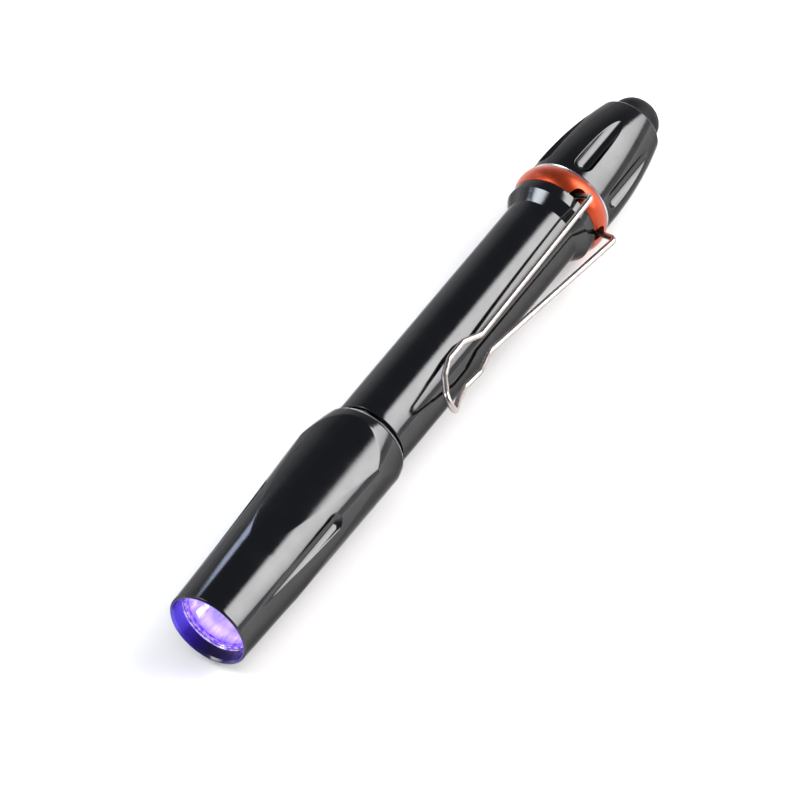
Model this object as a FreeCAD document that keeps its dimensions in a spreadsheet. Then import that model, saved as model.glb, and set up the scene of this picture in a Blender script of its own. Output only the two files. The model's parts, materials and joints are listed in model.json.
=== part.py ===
import FreeCAD, Part
import math
import os
import Sketcher
from FreeCAD import Placement, Rotation, Vector

# A pocket ultraviolet curing lamp: a penlight with a flared three-lobed head, a plain battery
# tube, a sprung wire clip, a coloured accent ring and a fluted tail cap with a rubber button.
# The lamp is drawn along X from the bezel (x = 0) to the button, with the clip above its axis
# (+Z).  The last placement lays it on its side on the floor and centres it on the origin.

SIZES = {
    # head
    "rim_radius": 7.5,
    "rim_edge": 0.25,
    "rim_lip": 7.05,
    "recess_mouth": 6.8,
    "recess_edge": 0.45,
    "window_radius": 6.37,
    "window_x": 2.35,
    "flare_x": 14.2,
    "flare_radius": 7.88,
    "crest_x": 40.4,
    "crest_radius": 9.13,
    "shoulder_curve": 45.0,
    "shoulder_x": 47.4,
    "shoulder_radius": 7.8,
    "head_end": 48.2,
    "head_end_radius": 7.25,
    "head_bore": 6.7,
    "lobe_count": 3,
    "facet_axis": 3.1,
    "facet_front": 7.8,
    "facet_rear": 8.17,
    "facet_depth": 6,
    "slot_floor": 7.67,
    "slot_end": 27.4,
    # optics and light source
    "lens_radius": 6.62,
    "lens_end": 3.5,
    "seal_section": 0.25,
    "reflector_x": 4.0,
    "reflector_end": 10.7,
    "reflector_mouth": 5.75,
    "reflector_throat": 1.9,
    "reflector_curve": 9.5,
    "package_width": 3.45,
    "package_height": 0.68,
    "dome_radius": 1.3,
    "board_x": 11.45,
    "board_end": 12.6,
    "sink_x": 12.65,
    "sink_end": 22.0,
    "driver_x": 19.6,
    "driver_end": 20.7,
    "front_coil": 1.4,
    "front_wire": 0.25,
    "front_turns": 3.5,
    # battery tube
    "tube_front": 26.5,
    "tube_bore": 5.4,
    "tube_radius": 6.91,
    "spigot_x": 34.0,
    "spigot_radius": 6.65,
    "neck_radius": 6.3,
    "tube_x": 49.1,
    "tube_edge": 0.15,
    "head_groove_x": 44.4,
    "head_groove_width": 1.4,
    "head_groove_floor": 6.0,
    "head_oring_section": 0.34,
    "collar_x": 103.5,
    "collar_full_x": 105.5,
    "collar_end": 107.6,
    "collar_radius": 8.25,
    "tail_groove_x": 113.4,
    "tail_groove_width": 0.7,
    "tail_groove_floor": 5.7,
    "tail_oring_section": 0.31,
    "tube_end": 117.5,
    # cells
    "cell_x": 24.0,
    "cell_length": 44.5,
    "cell_radius": 5.25,
    "cell_nub": 1.9,
    "cell_nub_height": 1.0,
    # clip
    "wire_radius": 0.55,
    "hoop_x": 108.25,
    "hoop_radius": 6.9,
    "hoop_gap": 39.0,
    "clip_rounding": 0.13,
    # accent ring
    "ring_x": 107.65,
    "ring_end": 111.75,
    "ring_front_radius": 8.38,
    "ring_rear_radius": 8.12,
    "ring_curve": 3.84,
    "ring_bulge": 8.807,
    "ring_edge": 0.15,
    "ring_seat": 7.5,
    "ring_seat_end": 108.9,
    "notch_side": 4.12,
    "notch_width": 2.2,
    "notch_depth": 2.0,
    "notch_reach": 12,
    # tail cap
    "cap_x": 111.82,
    "cap_full_x": 113.5,
    "cap_radius": 8.2,
    "cap_curve": 69.5,
    "cap_end": 132.2,
    "cap_end_radius": 6.0,
    "cap_edge": 0.3,
    "cap_bore": 6.35,
    "chamber_x": 118.0,
    "chamber_radius": 6.0,
    "chamber_end": 127.4,
    "button_hole": 5.22,
    "flute_count": 6,
    "flute_x": 114.75,
    "flute_radius": 1.9,
    "flute_axis": 8.93,
    "flute_turn": 12.0,
    # switch and button
    "tail_coil": 3.3,
    "tail_wire": 0.3,
    "tail_turns": 4.5,
    "return_coil": 1.7,
    "return_wire": 0.2,
    "return_turns": 3.5,
    "return_height": 2.3,
    "retainer_end": 119.2,
    "retainer_bore": 4.4,
    "housing_x": 119.25,
    "housing_end": 126.5,
    "housing_cavity": 2.9,
    "cavity_x": 120.4,
    "cavity_end": 125.3,
    "plunger_radius": 2.1,
    "plunger_end": 129.2,
    "skirt_end": 132.9,
    "skirt_bore": 4.75,
    "button_radius": 4.65,
    "button_shoulder_x": 134.3,
    "button_end": 137.4,
    "button_crown": 2.0,
    "button_edge_curve": 3.4,
    "button_top_curve": 6.0,
    # pose on the floor
    "roll": 59.0,
}

# The clip wire on one side of its mirror plane, from the root in the accent ring to the raised
# loop: station along the lamp, distance from the mirror plane, height above the axis, and bend.
CLIP_BENDS = [
    ("root", 108.6, 3.85, 6.15, 0.0),
    ("shoulder", 107.35, 4.7, 11.6, 1.1),
    ("neck", 74.0, 1.8, 8.35, 2.2),
    ("widest", 70.25, 3.3, 7.85, 1.6),
    ("lowest", 66.1, 3.1, 7.6, 3.0),
    ("rise", 62.1, 2.7, 9.3, 3.0),
    ("tip", 57.9, 1.6, 12.25, 1.5),
]

doc = FreeCAD.newDocument("UvCuringLamp")
dims = doc.addObject("Spreadsheet::Sheet", "dims")
for row, (alias, number) in enumerate(SIZES.items(), start=1):
    dims.set("A%d" % row, alias)
    dims.set("B%d" % row, str(number))
    dims.setAlias("B%d" % row, alias)
doc.recompute()

nodes = []


def size(alias):
    """One driving dimension, read from the sheet."""
    return float(getattr(dims, alias))


def total(text):
    """The number that a sum of sheet names and plain numbers stands for, such as 'cap_x + 0.4'."""
    result = 0.0
    sign = 1.0
    for word in text.split():
        if word == "+":
            sign = 1.0
        elif word == "-":
            sign = -1.0
        elif word[0].isalpha():
            result += sign * size(word)
        else:
            result += sign * float(word)
    return result


def formula(text):
    """The same sum as a FreeCAD expression."""
    return " ".join("dims." + word if word[0].isalpha() else word for word in text.split())


def lamp_placement(turn=0.0):
    """Lays the lamp on its side: clip towards -Y and half up, lowest crest on the floor."""
    roll = math.radians(size("roll"))
    name, station, side, height, bend = CLIP_BENDS[1]
    outermost = height - size("clip_rounding")
    clip_reach = outermost * math.sin(roll) + side * math.cos(roll) + size("wire_radius")
    middle = (clip_reach - size("ring_bulge")) / 2
    shift = Vector(-size("button_end") / 2, middle, size("crest_radius"))
    return Placement(shift, Rotation(Vector(1, 0, 0), size("roll") + turn))


def new_body(name, turn=0.0):
    body = doc.addObject("PartDesign::Body", name)
    body.Label = name
    body.Placement = lamp_placement(turn)
    nodes.append(body)
    return body


def origin_part(body, role):
    for feature in body.Origin.OriginFeatures:
        if feature.Role == role:
            return feature
    raise ValueError("no origin part with the role " + role)


def new_sketch(body, name, plane):
    sketch = body.newObject("Sketcher::SketchObject", name)
    sketch.AttachmentSupport = [(origin_part(body, plane), "")]
    sketch.MapMode = "FlatFace"
    return sketch


def pin_point(sketch, edge, end, across, up):
    """Fixes one end of an edge at a place that the sheet gives."""
    for text, kind, axis in ((across, "DistanceX", -2), (up, "DistanceY", -1)):
        if text == "0":
            sketch.addConstraint(Sketcher.Constraint("PointOnObject", edge, end, axis))
        else:
            number = sketch.addConstraint(Sketcher.Constraint(kind, -1, 1, edge, end, total(text)))
            sketch.setExpression("Constraints[%d]" % number, formula(text))


def arc_between(start, end, radius, side):
    """A sketch arc and whether it runs anticlockwise; side +1 puts its centre on the left."""
    chord = end - start
    half = chord.Length / 2
    normal = Vector(-chord.y, chord.x, 0).normalize()
    centre = (start + end) * 0.5 + normal * (side * math.sqrt(radius ** 2 - half ** 2))
    first = math.atan2(start.y - centre.y, start.x - centre.x)
    last = math.atan2(end.y - centre.y, end.x - centre.x)
    if side < 0:
        first, last = last, first
    if last < first:
        last += 2 * math.pi
    return Part.ArcOfCircle(Part.Circle(centre, Vector(0, 0, 1), radius), first, last)


def outline(sketch, corners, arcs=None):
    """Draws a closed outline through corners; arcs maps a corner to (radius, side) of the next edge."""
    arcs = arcs or {}
    places = [Vector(total(across), total(up), 0) for across, up in corners]
    first_edge = sketch.GeometryCount
    ends = []
    for index, place in enumerate(places):
        following = places[(index + 1) % len(places)]
        if index in arcs:
            radius, side = arcs[index]
            edge = sketch.addGeometry(arc_between(place, following, total(radius), side), False)
            number = sketch.addConstraint(Sketcher.Constraint("Radius", edge, total(radius)))
            sketch.setExpression("Constraints[%d]" % number, formula(radius))
            ends.append((1, 2) if side > 0 else (2, 1))
        else:
            sketch.addGeometry(Part.LineSegment(place, following), False)
            ends.append((1, 2))
    for index in range(len(corners)):
        after = (index + 1) % len(corners)
        joint = Sketcher.Constraint("Coincident", first_edge + index, ends[index][1],
                                    first_edge + after, ends[after][0])
        sketch.addConstraint(joint)
    for index, (across, up) in enumerate(corners):
        pin_point(sketch, first_edge + index, ends[index][0], across, up)


def turning_axis(sketch, start, end):
    """A construction line that a groove turns about."""
    places = [Vector(total(across), total(up), 0) for across, up in (start, end)]
    edge = sketch.addGeometry(Part.LineSegment(places[0], places[1]), True)
    pin_point(sketch, edge, 1, start[0], start[1])
    pin_point(sketch, edge, 2, end[0], end[1])


def revolve(body, corners, arcs=None):
    """Turns an outline of (station, radius) corners about the lamp's axis."""
    sketch = new_sketch(body, body.Name + "_profile", "XZ_Plane")
    outline(sketch, corners, arcs)
    turned = body.newObject("PartDesign::Revolution", body.Name + "_turned")
    turned.Profile = sketch
    turned.ReferenceAxis = (sketch, ["H_Axis"])
    turned.Angle = 360
    return turned


def groove(body, name, corners, axis, arcs=None):
    """Cuts an outline turned about its own axis, given by its two ends."""
    sketch = new_sketch(body, name + "_profile", "XZ_Plane")
    outline(sketch, corners, arcs)
    turning_axis(sketch, axis[0], axis[1])
    cut = body.newObject("PartDesign::Groove", name)
    cut.Profile = sketch
    cut.ReferenceAxis = (sketch, ["Axis0"])
    cut.Angle = 360
    return cut


def polar(body, originals, count):
    """Repeats features about the lamp's axis."""
    pattern = body.newObject("PartDesign::PolarPattern", body.Name + "_pattern")
    pattern.Originals = originals
    pattern.Axis = (origin_part(body, "X_Axis"), [""])
    pattern.Angle = 360
    pattern.setExpression("Occurrences", "dims." + count)
    body.Tip = pattern
    return pattern


def turned_part(name, corners, arcs=None):
    revolve(new_body(name), corners, arcs)


def ring_seal(name, station, radius, section):
    """A rubber O-ring round the lamp's axis."""
    ring = doc.addObject("Part::Torus", name)
    ring.Label = name
    ring.setExpression("Radius1", formula(radius))
    ring.setExpression("Radius2", formula(section))
    ring.Placement = lamp_placement() * Placement(Vector(total(station), 0, 0),
                                                  Rotation(Vector(0, 1, 0), 90))
    nodes.append(ring)


def coil(name, kind, start, end):
    """A coil spring along the lamp's axis; kind picks its radius, wire and turns from the sheet."""
    radius = size(kind + "_coil")
    wire = size(kind + "_wire")
    along = lamp_placement() * Placement(Vector(start + wire, 0, 0), Rotation(Vector(0, 1, 0), 90))
    height = end - start - 2 * wire
    helix = doc.addObject("Part::Helix", name + "_path")
    helix.setExpression("Radius", formula(kind + "_coil"))
    helix.Height = height
    helix.Pitch = height / size(kind + "_turns")
    helix.SegmentLength = 1
    helix.Placement = along
    doc.recompute()
    turns = ["Edge%d" % (number + 1) for number in range(len(helix.Shape.Edges))]
    section = doc.addObject("Part::Circle", name + "_wire")
    section.setExpression("Radius", formula(kind + "_wire"))
    section.Placement = along * Placement(Vector(radius, 0, 0), Rotation(Vector(1, 0, 0), 90))
    spring = doc.addObject("Part::Sweep", name)
    spring.Label = name
    spring.Sections = [section]
    spring.Spine = (helix, turns)
    spring.Solid = True
    spring.Frenet = True
    nodes.append(spring)


def make_head_shell():
    """Flared turned head: three broad facets between three crests, and a round flute along each crest."""
    body = new_body("head_shell")
    revolve(body, [
        ("0", "rim_lip"),
        ("0", "rim_radius - rim_edge"),
        ("rim_edge", "rim_radius"),
        ("flare_x", "flare_radius"),
        ("crest_x", "crest_radius"),
        ("shoulder_x", "shoulder_radius"),
        ("head_end", "head_end_radius"),
        ("head_end", "head_bore"),
        ("window_x", "head_bore"),
        ("window_x", "window_radius"),
        ("recess_edge", "recess_mouth"),
    ], {4: ("shoulder_curve", -1)})
    doc.recompute()
    facet = groove(body, "facet", [
        ("-1", "0 - facet_front"),
        ("head_end + 1", "0 - facet_rear"),
        ("head_end + 1", "0 - facet_rear - facet_depth"),
        ("-1", "0 - facet_front - facet_depth"),
    ], [("0", "facet_axis"), ("head_end", "facet_axis")])
    slot = groove(body, "slot", [
        ("slot_end + flute_radius", "slot_floor + flute_radius"),
        ("slot_end", "slot_floor + flute_radius + flute_radius"),
        ("-1", "slot_floor + flute_radius + flute_radius"),
        ("-1", "slot_floor + flute_radius"),
    ], [("0", "slot_floor + flute_radius"), ("slot_end", "slot_floor + flute_radius")],
        {0: ("flute_radius", 1)})
    polar(body, [facet, slot], "lobe_count")


def make_optics():
    """Window, its seal, the reflector and the light source behind it."""
    turned_part("lens", [
        ("window_x", "0"),
        ("window_x", "lens_radius - 0.15"),
        ("window_x + 0.15", "lens_radius"),
        ("lens_end", "lens_radius"),
        ("lens_end", "0"),
    ])
    ring_seal("lens_seal", "lens_end + seal_section", "window_radius - 0.07", "seal_section")
    turned_part("reflector", [
        ("reflector_x", "reflector_mouth"),
        ("reflector_x", "lens_radius - 0.02"),
        ("reflector_x + 1", "lens_radius - 0.02"),
        ("reflector_x + 1", "reflector_mouth + 0.35"),
        ("reflector_end", "reflector_throat + 1"),
        ("reflector_end", "reflector_throat"),
    ], {5: ("reflector_curve", 1)})
    turned_part("led_board", [
        ("board_x", "0"),
        ("board_x", "head_bore - 0.2"),
        ("board_end", "head_bore - 0.2"),
        ("board_end", "0"),
    ])
    package = doc.addObject("Part::Box", "led_package")
    package.Label = "led_package"
    package.setExpression("Length", "dims.package_height")
    package.setExpression("Width", "dims.package_width")
    package.setExpression("Height", "dims.package_width")
    half = size("package_width") / 2
    corner = Vector(size("board_x") - size("package_height"), -half, -half)
    package.Placement = lamp_placement() * Placement(corner, Rotation())
    nodes.append(package)
    turned_part("led_dome", [
        ("board_x - package_height - dome_radius", "0"),
        ("board_x - package_height", "dome_radius"),
        ("board_x - package_height", "0"),
    ], {0: ("dome_radius", -1)})


def make_light_engine():
    """Heat sink that screws into the head, with the driver board and its contact spring."""
    turned_part("heat_sink", [
        ("sink_x", "0"),
        ("sink_x", "head_bore - 0.04"),
        ("sink_end", "head_bore - 0.04"),
        ("sink_end", "head_bore - 0.9"),
        ("sink_x + 3.4", "head_bore - 0.9"),
        ("sink_x + 3.4", "0"),
    ])
    turned_part("driver_board", [
        ("driver_x", "0"),
        ("driver_x", "head_bore - 0.92"),
        ("driver_end", "head_bore - 0.92"),
        ("driver_end", "0"),
    ])
    coil("front_spring", "front", total("driver_end + 0.03"), total("cell_x - 0.03"))


def make_battery_tube():
    """One turned tube with a spigot at each end and the clip collar; its bore takes two cells."""
    turned_part("battery_tube", [
        ("tube_front", "tube_bore"),
        ("tube_front", "neck_radius"),
        ("spigot_x", "neck_radius"),
        ("spigot_x", "spigot_radius"),
        ("head_groove_x", "spigot_radius"),
        ("head_groove_x", "head_groove_floor"),
        ("head_groove_x + head_groove_width", "head_groove_floor"),
        ("head_groove_x + head_groove_width", "spigot_radius"),
        ("head_end", "spigot_radius"),
        ("head_end", "neck_radius"),
        ("tube_x", "neck_radius"),
        ("tube_x", "tube_radius - tube_edge"),
        ("tube_x + tube_edge", "tube_radius"),
        ("collar_x", "tube_radius"),
        ("collar_full_x", "collar_radius - 0.08"),
        ("collar_full_x + 0.12", "collar_radius"),
        ("collar_end", "collar_radius"),
        ("collar_end", "neck_radius"),
        ("tail_groove_x", "neck_radius"),
        ("tail_groove_x", "tail_groove_floor"),
        ("tail_groove_x + tail_groove_width", "tail_groove_floor"),
        ("tail_groove_x + tail_groove_width", "neck_radius"),
        ("tube_end", "neck_radius"),
        ("tube_end", "tube_bore"),
    ])
    ring_seal("head_oring", "head_groove_x + 0.7", "head_groove_floor + 0.35", "head_oring_section")
    ring_seal("tail_oring", "tail_groove_x + 0.35", "tail_groove_floor + 0.32", "tail_oring_section")


def make_cell(name, station):
    """A dry cell with its positive nub towards the head."""
    base = "%.3f" % station
    shoulder = base + " + cell_nub_height"
    turned_part(name, [
        (base, "0"),
        (base, "cell_nub"),
        (shoulder, "cell_nub"),
        (shoulder, "cell_radius - 0.4"),
        (shoulder + " + 0.4", "cell_radius"),
        (base + " + cell_length - 0.4", "cell_radius"),
        (base + " + cell_length", "cell_radius - 0.4"),
        (base + " + cell_length", "0"),
    ])


def bent_wire(points, bends):
    """A run of straight edges through points, with each corner rounded to its bend radius."""
    edges = []
    start = points[0]
    for before, corner, after, bend in zip(points, points[1:], points[2:], bends[1:-1]):
        inward = (before - corner).normalize()
        outward = (after - corner).normalize()
        half_angle = inward.getAngle(outward) / 2
        cut = bend / math.tan(half_angle)
        entry = corner + inward * cut
        leave = corner + outward * cut
        middle = corner + (inward + outward).normalize() * (bend / math.sin(half_angle) - bend)
        edges.append(Part.makeLine(start, entry))
        edges.append(Part.Arc(entry, middle, leave).toShape())
        start = leave
    edges.append(Part.makeLine(start, points[-1]))
    return Part.Wire(edges)


def wire_solid(name, path, start, direction):
    """Sweeps the clip's round wire along a path."""
    section = Part.Wire(Part.makeCircle(size("wire_radius"), start, direction))
    feature = doc.addObject("Part::Feature", name)
    feature.Label = name
    feature.Shape = path.makePipeShell([section], True, True)
    feature.Placement = lamp_placement()
    nodes.append(feature)


def make_clip():
    """One bent spring wire: an open hoop round the tube's neck, and the arm that grips a pocket."""
    gap = math.radians(size("hoop_gap"))
    radius = size("hoop_radius")
    hoop_x = size("hoop_x")
    start = Vector(hoop_x, radius * math.sin(gap), radius * math.cos(gap))
    end = Vector(hoop_x, -start.y, start.z)
    hoop = Part.Wire(Part.Arc(start, Vector(hoop_x, 0, -radius), end).toShape())
    tangent = Vector(0, math.cos(gap), -math.sin(gap))
    wire_solid("clip_hoop", hoop, start, tangent)
    one_side = [Vector(station, side, height) for name, station, side, height, bend in CLIP_BENDS]
    other_side = [Vector(point.x, -point.y, point.z) for point in reversed(one_side)]
    bends = [bend for name, station, side, height, bend in CLIP_BENDS]
    points = one_side + other_side
    arm = bent_wire(points, bends + bends[::-1])
    wire_solid("clip_arm", arm, points[0], points[1] - points[0])


def make_accent_ring():
    """Bulging coloured ring that traps the clip's hoop, notched where the wire comes out."""
    body = new_body("accent_ring")
    revolve(body, [
        ("ring_x", "ring_seat"),
        ("ring_x", "ring_front_radius - ring_edge"),
        ("ring_x + ring_edge", "ring_front_radius"),
        ("ring_end", "ring_rear_radius"),
        ("ring_end", "neck_radius + 0.02"),
        ("ring_seat_end", "neck_radius + 0.02"),
        ("ring_seat_end", "ring_seat"),
    ], {2: ("ring_curve", -1)})
    doc.recompute()
    sketch = new_sketch(body, "notch_profile", "XY_Plane")
    half = size("notch_width") / 2
    inner = "%.3f" % (size("notch_side") - half)
    outer = "%.3f" % (size("notch_side") + half)
    straight = "ring_x + notch_depth - %.3f" % half
    outline(sketch, [
        ("ring_x - 1", inner),
        (straight, inner),
        (straight, outer),
        ("ring_x - 1", outer),
    ], {1: ("%.3f" % (half + 0.0001), 1)})
    notch = body.newObject("PartDesign::Pocket", "notch")
    notch.Profile = sketch
    notch.Type = "Length"
    notch.setExpression("Length", "dims.notch_reach")
    notch.Reversed = True
    other = body.newObject("PartDesign::Mirrored", "notch_pair")
    other.Originals = [notch]
    other.MirrorPlane = (origin_part(body, "XZ_Plane"), [""])
    body.Tip = other


def make_tail_cap():
    """Barrel-shaped cap with six round flutes that run out towards the button."""
    body = new_body("tail_cap", size("flute_turn"))
    revolve(body, [
        ("cap_x", "cap_bore"),
        ("cap_x", "cap_radius - cap_edge"),
        ("cap_x + 0.25", "cap_radius - 0.05"),
        ("cap_full_x", "cap_radius"),
        ("cap_end - cap_edge", "cap_end_radius"),
        ("cap_end", "cap_end_radius - 0.25"),
        ("cap_end", "button_hole"),
        ("chamber_end", "button_hole"),
        ("chamber_end", "chamber_radius"),
        ("chamber_x", "chamber_radius"),
        ("chamber_x", "cap_bore"),
    ], {3: ("cap_curve", -1)})
    doc.recompute()
    flute = groove(body, "flute", [
        ("flute_x - flute_radius", "flute_axis"),
        ("flute_x", "flute_axis + flute_radius"),
        ("cap_end + 1", "flute_axis + flute_radius"),
        ("cap_end + 1", "flute_axis"),
    ], [("flute_x", "flute_axis"), ("cap_end", "flute_axis")], {0: ("flute_radius", -1)})
    polar(body, [flute], "flute_count")


def make_switch():
    """Switch module behind the tail spring, held by a ring, and the boot and button over it."""
    cells_end = total("cell_x + cell_length + cell_length + 0.06")
    coil("tail_spring", "tail", cells_end, total("housing_x - 0.04"))
    turned_part("switch_retainer", [
        ("chamber_x + 0.05", "retainer_bore"),
        ("chamber_x + 0.05", "chamber_radius - 0.03"),
        ("retainer_end", "chamber_radius - 0.03"),
        ("retainer_end", "retainer_bore"),
    ])
    turned_part("switch_housing", [
        ("housing_x", "0"),
        ("housing_x", "chamber_radius - 0.05"),
        ("housing_end", "chamber_radius - 0.05"),
        ("housing_end", "plunger_radius + 0.06"),
        ("cavity_end", "plunger_radius + 0.06"),
        ("cavity_end", "housing_cavity"),
        ("cavity_x", "housing_cavity"),
        ("cavity_x", "0"),
    ])
    coil("return_spring", "return", total("cavity_x + 0.03"), total("cavity_x + return_height"))
    turned_part("switch_plunger", [
        ("cavity_end - 1.15", "0"),
        ("cavity_end - 1.15", "housing_cavity - 0.1"),
        ("cavity_end - 0.05", "housing_cavity - 0.1"),
        ("cavity_end - 0.05", "plunger_radius"),
        ("plunger_end", "plunger_radius"),
        ("plunger_end", "0"),
    ])
    turned_part("boot_skirt", [
        ("housing_end + 0.05", "skirt_bore"),
        ("housing_end + 0.05", "chamber_radius - 0.05"),
        ("chamber_end - 0.05", "chamber_radius - 0.05"),
        ("chamber_end - 0.05", "button_hole - 0.03"),
        ("skirt_end - 0.2", "button_hole - 0.03"),
        ("skirt_end", "button_hole - 0.2"),
        ("skirt_end", "skirt_bore"),
    ])
    turned_part("button_dome", [
        ("plunger_end + 0.1", "0"),
        ("plunger_end + 0.1", "plunger_radius + 0.2"),
        ("button_end - 2", "plunger_radius + 0.2"),
        ("button_end - 2", "button_radius - 1.1"),
        ("plunger_end + 1", "button_radius - 1.1"),
        ("plunger_end + 1", "button_radius"),
        ("button_shoulder_x", "button_radius - 0.2"),
        ("button_end - 0.35", "button_crown"),
        ("button_end", "0"),
    ], {6: ("button_edge_curve", -1), 7: ("button_top_curve", -1)})


make_head_shell()
make_optics()
make_light_engine()
make_battery_tube()
make_cell("cell_front", size("cell_x"))
make_cell("cell_rear", size("cell_x") + size("cell_length") + 0.02)
make_clip()
make_accent_ring()
make_tail_cap()
make_switch()
doc.recompute()

for item in doc.Objects:
    if "Invalid" in item.State or "Error" in item.State:
        raise RuntimeError("%s did not build: %s" % (item.Name, item.State))

os.makedirs("parts", exist_ok=True)
for node in nodes:
    if node.Shape.isNull() or not node.Shape.isValid():
        raise RuntimeError("%s is not a good solid" % node.Label)
    node.Shape.exportStep("parts/%s.step" % node.Label)
    print("%-16s %9.2f mm3  %d solid" % (node.Label, node.Shape.Volume, len(node.Shape.Solids)))
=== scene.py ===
import json
import math

import bpy
from mathutils import Matrix, Vector


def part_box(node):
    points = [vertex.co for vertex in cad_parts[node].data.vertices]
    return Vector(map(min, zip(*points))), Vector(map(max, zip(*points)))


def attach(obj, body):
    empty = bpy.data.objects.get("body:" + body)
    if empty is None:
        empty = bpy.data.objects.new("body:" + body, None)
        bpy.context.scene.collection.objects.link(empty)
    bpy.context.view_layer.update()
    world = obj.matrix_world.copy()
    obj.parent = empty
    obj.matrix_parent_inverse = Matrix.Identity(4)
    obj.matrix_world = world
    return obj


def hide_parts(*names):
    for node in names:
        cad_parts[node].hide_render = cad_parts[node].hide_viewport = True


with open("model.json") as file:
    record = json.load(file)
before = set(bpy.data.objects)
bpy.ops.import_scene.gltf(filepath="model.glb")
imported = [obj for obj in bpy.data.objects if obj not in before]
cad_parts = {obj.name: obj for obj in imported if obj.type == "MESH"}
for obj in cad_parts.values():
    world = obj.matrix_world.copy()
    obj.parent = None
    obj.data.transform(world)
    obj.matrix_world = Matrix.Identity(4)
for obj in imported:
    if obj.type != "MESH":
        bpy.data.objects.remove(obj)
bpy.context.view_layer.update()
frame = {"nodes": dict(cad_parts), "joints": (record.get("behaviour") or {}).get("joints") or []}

# A pocket ultraviolet curing lamp lying on the floor.  Shapes are drawn in millimetres along the
# lamp's own axis, station 0 at the bezel, and LAMP lays them in the frame.

MM = 0.001
joints = {joint["name"]: joint for joint in frame["joints"]}
BEZEL = Vector(joints["head_turn"]["pos_m"])
ALONG = Vector((1, 0, 0))
SIDE = Vector(joints["clip_flex"]["axis"])
UP = ALONG.cross(SIDE)
LAMP = Matrix.Translation(BEZEL) @ Matrix((ALONG, SIDE, UP)).transposed().to_4x4() @ Matrix.Scale(MM, 4)


def stations(node):
    """First and last station of a CAD node along the lamp, in millimetres."""
    low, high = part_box(node)
    return (low.x - BEZEL.x) / MM, (high.x - BEZEL.x) / MM


HEAD_END = stations("head_shell")[1]
TUBE_FRONT, TUBE_END = stations("battery_tube")
RING_X, RING_END = stations("accent_ring")
CAP_X, CAP_END = stations("tail_cap")
BUTTON_X, BUTTON_END = stations("button_dome")
SKIRT_X, SKIRT_END = stations("boot_skirt")
WINDOW_X = stations("lens")[0]

# ---------------------------------------------------------------- shapes
#
# An outline is a list of corners: the station, the radius, and the size of the arc that rounds
# the corner.  A corner that turns less than STRAIGHT stays as it is, and one arc uses up at most
# SIDE_SHARE of the side next to it.

ON_AXIS = 1e-6
STRAIGHT = 0.01
SIDE_SHARE = 0.48
ARC_STEPS = 5


def arc_points(start, end, radius, steps):
    """Corners strictly between start and end, on an arc that bulges away from the axis."""
    start, end = Vector(start), Vector(end)
    chord = end - start
    normal = Vector((-chord.y, chord.x)).normalized()
    centre = (start + end) / 2 - normal * math.sqrt(radius ** 2 - chord.length_squared / 4)
    first = math.atan2(start.y - centre.y, start.x - centre.x)
    last = math.atan2(end.y - centre.y, end.x - centre.x)
    sweep = (last - first + math.pi) % (2 * math.pi) - math.pi
    angles = [first + sweep * step / steps for step in range(1, steps)]
    return [(centre.x + radius * math.cos(angle), centre.y + radius * math.sin(angle), 0)
            for angle in angles]


def corner_arc(before, corner, after, bend, steps):
    """Points on the arc of radius bend that rounds a corner between two straight runs."""
    inward = (before - corner).normalized()
    onward = (after - corner).normalized()
    half = inward.angle(onward) / 2
    centre = corner + (inward + onward).normalized() * bend / math.sin(half)
    entry = corner + inward * bend / math.tan(half) - centre
    leave = corner + onward * bend / math.tan(half) - centre
    return [centre + entry.slerp(leave, step / steps).normalized() * bend for step in range(steps + 1)]


def rounded(corners, closed=True, longest=0.3):
    """An outline as points no further apart than longest, with its corners rounded."""
    count = len(corners)
    spots = [Vector(corner[:2]) for corner in corners]
    points = []
    for index, here in enumerate(spots):
        rounding = corners[index][2]
        before, after = spots[index - 1], spots[(index + 1) % count]
        end_point = not closed and index in (0, count - 1)
        turn = 0 if end_point else (here - before).angle(after - here, 0)
        if rounding == 0 or turn < STRAIGHT:
            points.append(here)
            continue
        shortest = min((before - here).length, (after - here).length)
        bend = min(rounding, SIDE_SHARE * shortest / math.tan(turn / 2))
        points += corner_arc(before, here, after, bend, ARC_STEPS)
    dense = []
    last = len(points) if closed else len(points) - 1
    for index in range(last):
        start, end = points[index], points[(index + 1) % len(points)]
        pieces = max(1, math.ceil((end - start).length / longest))
        dense += [start.lerp(end, step / pieces) for step in range(pieces)]
    if not closed:
        dense.append(points[-1])
    return dense


def new_mesh(name, verts, faces, uvs=None, placement=LAMP):
    """A smooth piece from vertices in millimetres on the lamp, with one UV for each vertex."""
    mesh = bpy.data.meshes.new(name)
    mesh.from_pydata([placement @ Vector(vert) for vert in verts], [], faces)
    if uvs:
        layer = mesh.uv_layers.new(name="UVMap")
        for corner, loop in enumerate(mesh.loops):
            layer.data[corner].uv = uvs[loop.vertex_index]
    mesh.shade_smooth()
    mesh.validate()
    piece = bpy.data.objects.new(name, mesh)
    bpy.context.scene.collection.objects.link(piece)
    return piece


def outward(piece):
    """Turns every face outwards, judged by the signed volume of the closed mesh."""
    mesh = piece.data
    volume = 0.0
    for polygon in mesh.polygons:
        corners = [mesh.vertices[index].co for index in polygon.vertices]
        for second, third in zip(corners[1:], corners[2:]):
            volume += corners[0].dot(second.cross(third))
    if volume < 0:
        mesh.flip_normals()


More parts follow.
